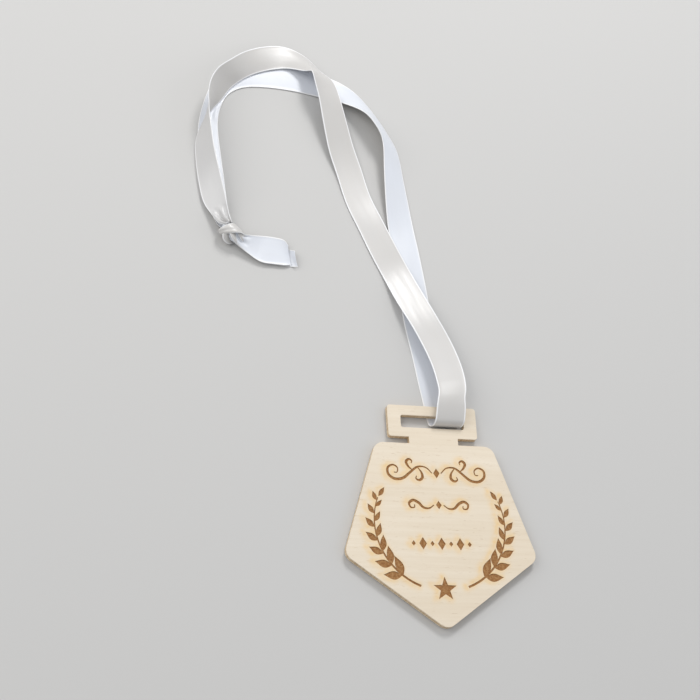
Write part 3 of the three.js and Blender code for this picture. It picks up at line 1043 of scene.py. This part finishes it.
def engraved_grid(tree_of_edges):
    """Points all over the plate, clear of every line, so that stain and char can vary."""
    points = []
    rows = np.arange(-PENTAGON_RADIUS, BAR_TOP, GRID_STEP)
    for row, y in enumerate(rows):
        shift = GRID_STEP / 2 * (row % 2)
        for x in np.arange(-PENTAGON_RADIUS + shift, PENTAGON_RADIUS, GRID_STEP):
            if tree_of_edges.find((x, y, 0))[2] > GRID_CLEARANCE:
                points.append((x, y))
    return points


def point_tree(loops):
    """A tree of the loops' points, to find the nearest in."""
    points = np.vstack(loops)
    tree = KDTree(len(points))
    for index, (x, y) in enumerate(points):
        tree.insert((x, y, 0), index)
    tree.balance()
    return tree


# The loops that come first wherever the plate is divided into triangles.
OUTLINE_LOOP = 0
SLOT_LOOP = 1


def on_plate(owner):
    """Whether a triangle inside these loops is on the plate, and not in its slot."""
    return OUTLINE_LOOP in owner and SLOT_LOOP not in owner


def triangulated(loops, extra):
    """Triangles that keep the loops' sides: points, triangles, the loops round each, new numbers."""
    points, faces = [], []
    for loop in loops:
        faces.append(list(range(len(points), len(points) + len(loop))))
        points += [Vector(point) for point in loop]
    points += [Vector(point) for point in extra]
    made, _, triangles, sources, _, owners = delaunay_2d_cdt(points, [], faces, 0, NEARNESS, True)
    number = {old: new for new, olds in enumerate(sources) for old in olds}
    return made, triangles, owners, number


class Shell:
    """Collects the veneer's points and faces, with how burnt each point is."""

    def __init__(self):
        self.points = []
        self.burn = []
        self.faces = []

    def add(self, x, y, z, burn=0.0):
        """Adds a point, placed from the pentagon's centre, and gives its number."""
        self.points.append((x, y + PENTAGON_CENTRE_Y, z))
        self.burn.append(burn)
        return len(self.points) - 1


def floor_height(x, y, top):
    """How high the engraving's slightly rough floor is here."""
    spot = Vector((x, y, 0)) * FLOOR_ROUGHNESS_SCALE
    return top - ENGRAVING_DEPTH + FLOOR_ROUGHNESS * noise.noise(spot)


def add_face_side(shell, top, loops, grid):
    """The engraved side: its flat skin, the engraving's floors, and the walls between them."""
    made, triangles, owners, number = triangulated(loops, grid)
    numbers = {}

    def corner(index, deep):
        if (index, deep) not in numbers:
            x, y = made[index]
            z = floor_height(x, y, top) if deep else top
            numbers[index, deep] = shell.add(x, y, z, float(deep))
        return numbers[index, deep]

    depth_beside = {}
    for triangle, owner in zip(triangles, owners):
        if not on_plate(owner):
            continue
        deep = len(owner) > 1
        shell.faces.append([corner(index, deep) for index in triangle])
        for side in zip(triangle, triangle[1:] + triangle[:1]):
            depth_beside[side] = deep
    for (start, end), deep in depth_beside.items():
        if deep and depth_beside.get((end, start)) is False:
            low = [corner(end, True), corner(start, True)]
            shell.faces.append(low + [corner(start, False), corner(end, False)])
    return {old: corner(new, False) for old, new in number.items() if (new, False) in numbers}


def add_rim(shell, rings):
    """Bands of faces between rings of points."""
    for high, low in zip(rings, rings[1:]):
        for index in range(len(high)):
            shell.faces.append([high[index - 1], low[index - 1], low[index], high[index]])


def add_back_side(shell, outer, inner, bottom):
    """The plain side: a flat skin between the outline and the slot."""
    made, triangles, owners, number = triangulated([outer, inner], [])
    numbers = [shell.add(x, y, bottom) for x, y in made]
    for triangle, owner in zip(triangles, owners):
        if on_plate(owner):
            shell.faces.append([numbers[index] for index in reversed(triangle)])
    return numbers, number


def veneer_shell(top, bottom, loops):
    """The whole veneer: engraved side, bevelled rims and back."""
    shell = Shell()
    outer, inner = outline(plate_corners(), EDGE_BEVEL), outline(slot_corners(), -EDGE_BEVEL)
    all_loops = [outer, inner] + loops
    grid = engraved_grid(point_tree(all_loops))
    front = add_face_side(shell, top, all_loops, grid)
    full_outer, full_inner = outline(plate_corners(), 0), outline(slot_corners(), 0)
    back, number = add_back_side(shell, full_outer, full_inner, bottom)
    first, last = 0, len(outer)
    for loop, clockwise in ((full_outer, False), (full_inner, True)):
        high = [front[index] for index in range(first, last)]
        edge = [shell.add(x, y, top - EDGE_BEVEL) for x, y in loop]
        low = [back[number[index]] for index in range(first, last)]
        rings = [high, edge, low]
        add_rim(shell, [ring[::-1] for ring in rings] if clockwise else rings)
        first, last = last, last + len(inner)
    return shell


def soot_of(shell, loops):
    """How stained each point is by the smoke of the nearest engraving, which drifted to one side."""
    edges = point_tree(loops)
    lift = Vector((0, -PENTAGON_CENTRE_Y, 0))
    soot = []
    for x, y, _ in shell.points:
        distance = edges.find(Vector((x, y, 0)) + lift - SOOT_SHIFT)[2]
        soot.append(math.exp(-((distance / SOOT_REACH) ** 2)))
    return soot


def add_front_veneer():
    """The engraved front ply, in the place of the plain one."""
    low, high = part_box("front_veneer")
    loops = [loop.tolist() for loop in drawing()]
    shell = veneer_shell(high.z, low.z, loops)
    mesh = bpy.data.meshes.new("engraved_veneer")
    mesh.from_pydata(shell.points, [], shell.faces)
    mesh.set_sharp_from_angle(angle=SHARP_ANGLE)
    mesh.attributes.new("burn", "FLOAT", "POINT").data.foreach_set("value", shell.burn)
    mesh.attributes.new("soot", "FLOAT", "POINT").data.foreach_set("value", soot_of(shell, loops))
    mesh.materials.append(engraved_wood("engraved_wood", WOOD_LIGHT, WOOD_DARK))
    veneer = add_object("engraved_veneer", mesh)
    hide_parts("front_veneer")
    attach(veneer, "plate")


def finish_ply(node, material):
    """Gives a carried-over ply its wood."""
    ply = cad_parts[node]
    ply.data.materials.clear()
    ply.data.materials.append(material)


# -------- stage

STAGE_SIZE = 4.0
STAGE_COLOUR = (0.54, 0.53, 0.515, 1)
STAGE_ROUGHNESS = 0.8
WORLD_COLOUR = (0.93, 0.96, 1.0, 1)
WORLD_STRENGTH = 0.62
LIGHT_DISTANCE = 1.1
# Each soft box: its direction from the scene's middle, its size, its power and its colour.
LIGHTS = {
    "key": ((-0.80, 0.25, 0.65), 0.85, 4.8, (1, 0.985, 0.96)),
    "gloss": ((0.17, 0.70, 0.69), 0.32, 6.0, (1, 1, 1)),
    "fill": ((0.9, -0.1, 0.5), 0.7, 1.2, (1, 1, 1)),
}


def add_floor():
    """The pale table that the medal lies on."""
    mesh = bpy.data.meshes.new("floor")
    half = STAGE_SIZE / 2
    corners = [(-half, -half, 0), (half, -half, 0), (half, half, 0), (-half, half, 0)]
    mesh.from_pydata(corners, [], [(0, 1, 2, 3)])
    sockets = {"Base Color": STAGE_COLOUR, "Roughness": STAGE_ROUGHNESS}
    mesh.materials.append(new_material("floor", sockets)[0])
    add_object("floor", mesh)


def add_light(name, direction, size, power, colour):
    """A square soft box that looks at the middle of the scene from this direction."""
    data = bpy.data.lights.new(name, "AREA")
    data.size = size
    data.energy = power
    data.color = colour
    light = add_object(name, data)
    middle = (cad_box[0] + cad_box[1]) / 2
    middle.z = 0
    light.location = middle + Vector(direction).normalized() * LIGHT_DISTANCE
    aim(light, middle - light.location)


def add_lights():
    """The soft boxes, and an even light from all round."""
    for name, values in LIGHTS.items():
        add_light(name, *values)
    world = bpy.data.worlds.new("world")
    world.use_nodes = True
    background = world.node_tree.nodes["Background"]
    background.inputs["Color"].default_value = WORLD_COLOUR
    background.inputs["Strength"].default_value = WORLD_STRENGTH
    bpy.context.scene.world = world
    bpy.context.scene.view_settings.view_transform = "Standard"


# -------- the scene

add_camera()
satin = satin_material()
satin_ribbon, ribbon_path = add_ribbon(satin)
satin_knot = add_knot(satin)
upper_tail = add_tail("satin_upper_tail", "upper_tail", UPPER_TAIL, satin, UPPER_TAIL_ENTRY, 0)
lower_tail = add_tail("satin_lower_tail", "lower_tail", LOWER_TAIL, satin, LOWER_TAIL_ENTRY, TIP_VALLEY)

add_front_veneer()
finish_ply("core_ply", plain_wood("core_wood", CORE_LIGHT, CORE_DARK, turned=True))
finish_ply("back_veneer", plain_wood("back_wood", WOOD_LIGHT, WOOD_DARK))

add_floor()
add_lights()
